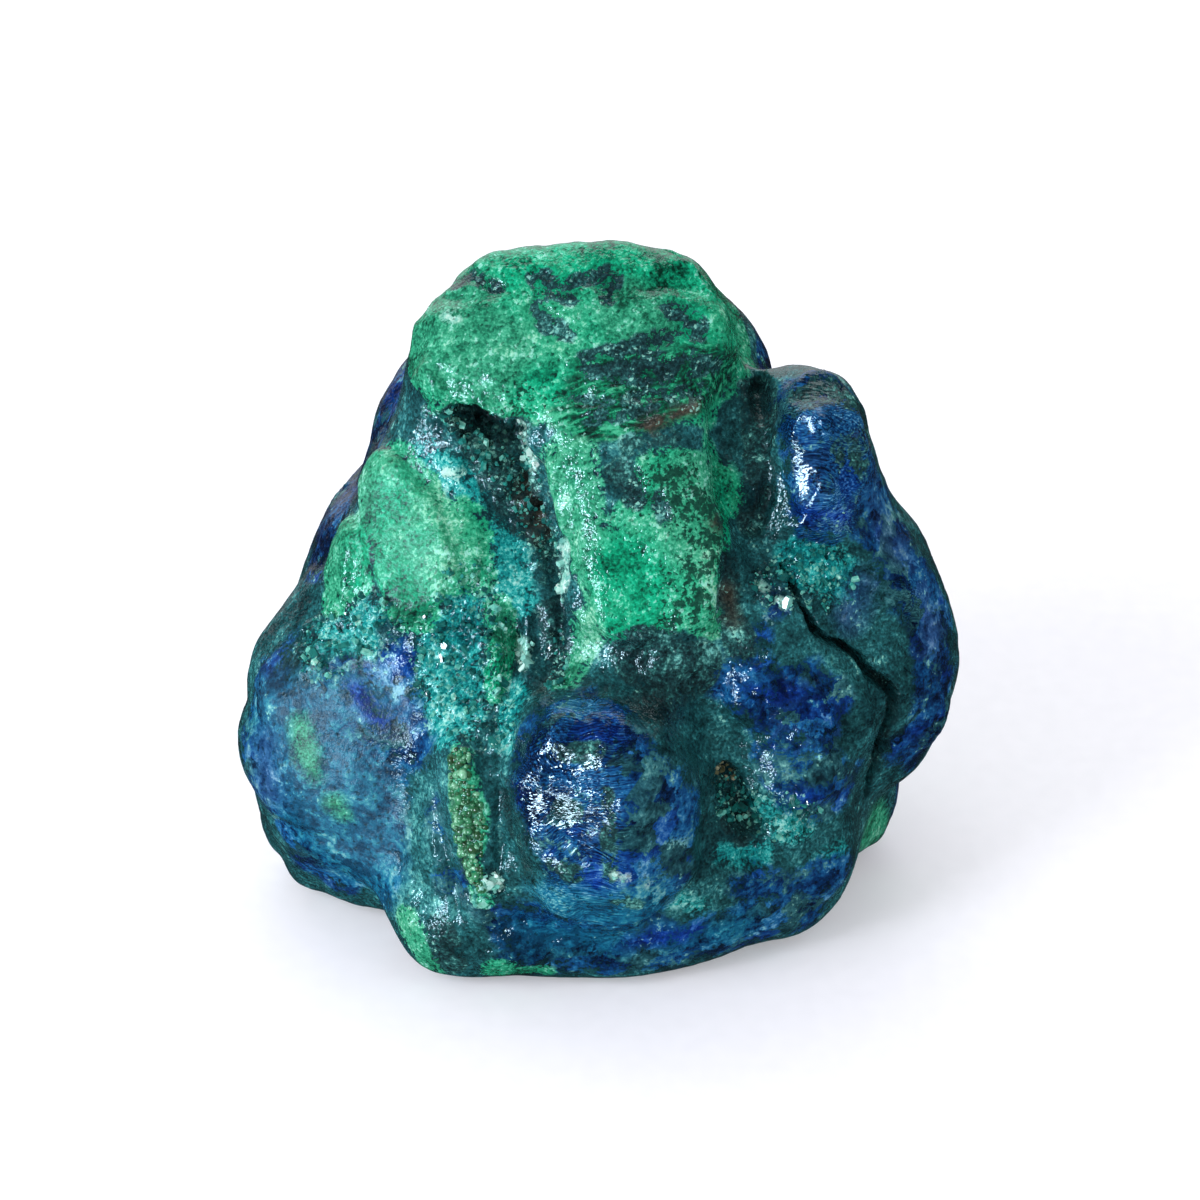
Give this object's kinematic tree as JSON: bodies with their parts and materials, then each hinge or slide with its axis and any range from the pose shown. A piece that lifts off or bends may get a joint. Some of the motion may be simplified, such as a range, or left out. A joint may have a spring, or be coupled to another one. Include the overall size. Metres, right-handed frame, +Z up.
{
  "type": "azurite with malachite nugget",
  "caption": "Tumbled nugget of azurite with malachite: a lobed lump of blue and green copper minerals with a tilted green cap, resting on a small worn flat.",
  "frame": {"origin": "middle of the bounding box, at the level of the flat the stone rests on", "axes": "+Z up; the best side, with the azurite boss and the cap's sloping face, looks towards -Y; +X is to the right when seen from there"},
  "size_m": [0.0454, 0.0346, 0.0421],
  "materials": {
    "azurite_malachite": "tumbled and polished on the high places, rough in the hollows"
  },
  "bodies": {
    "root": {"stone": "azurite_malachite"}
  },
  "joints": []
}
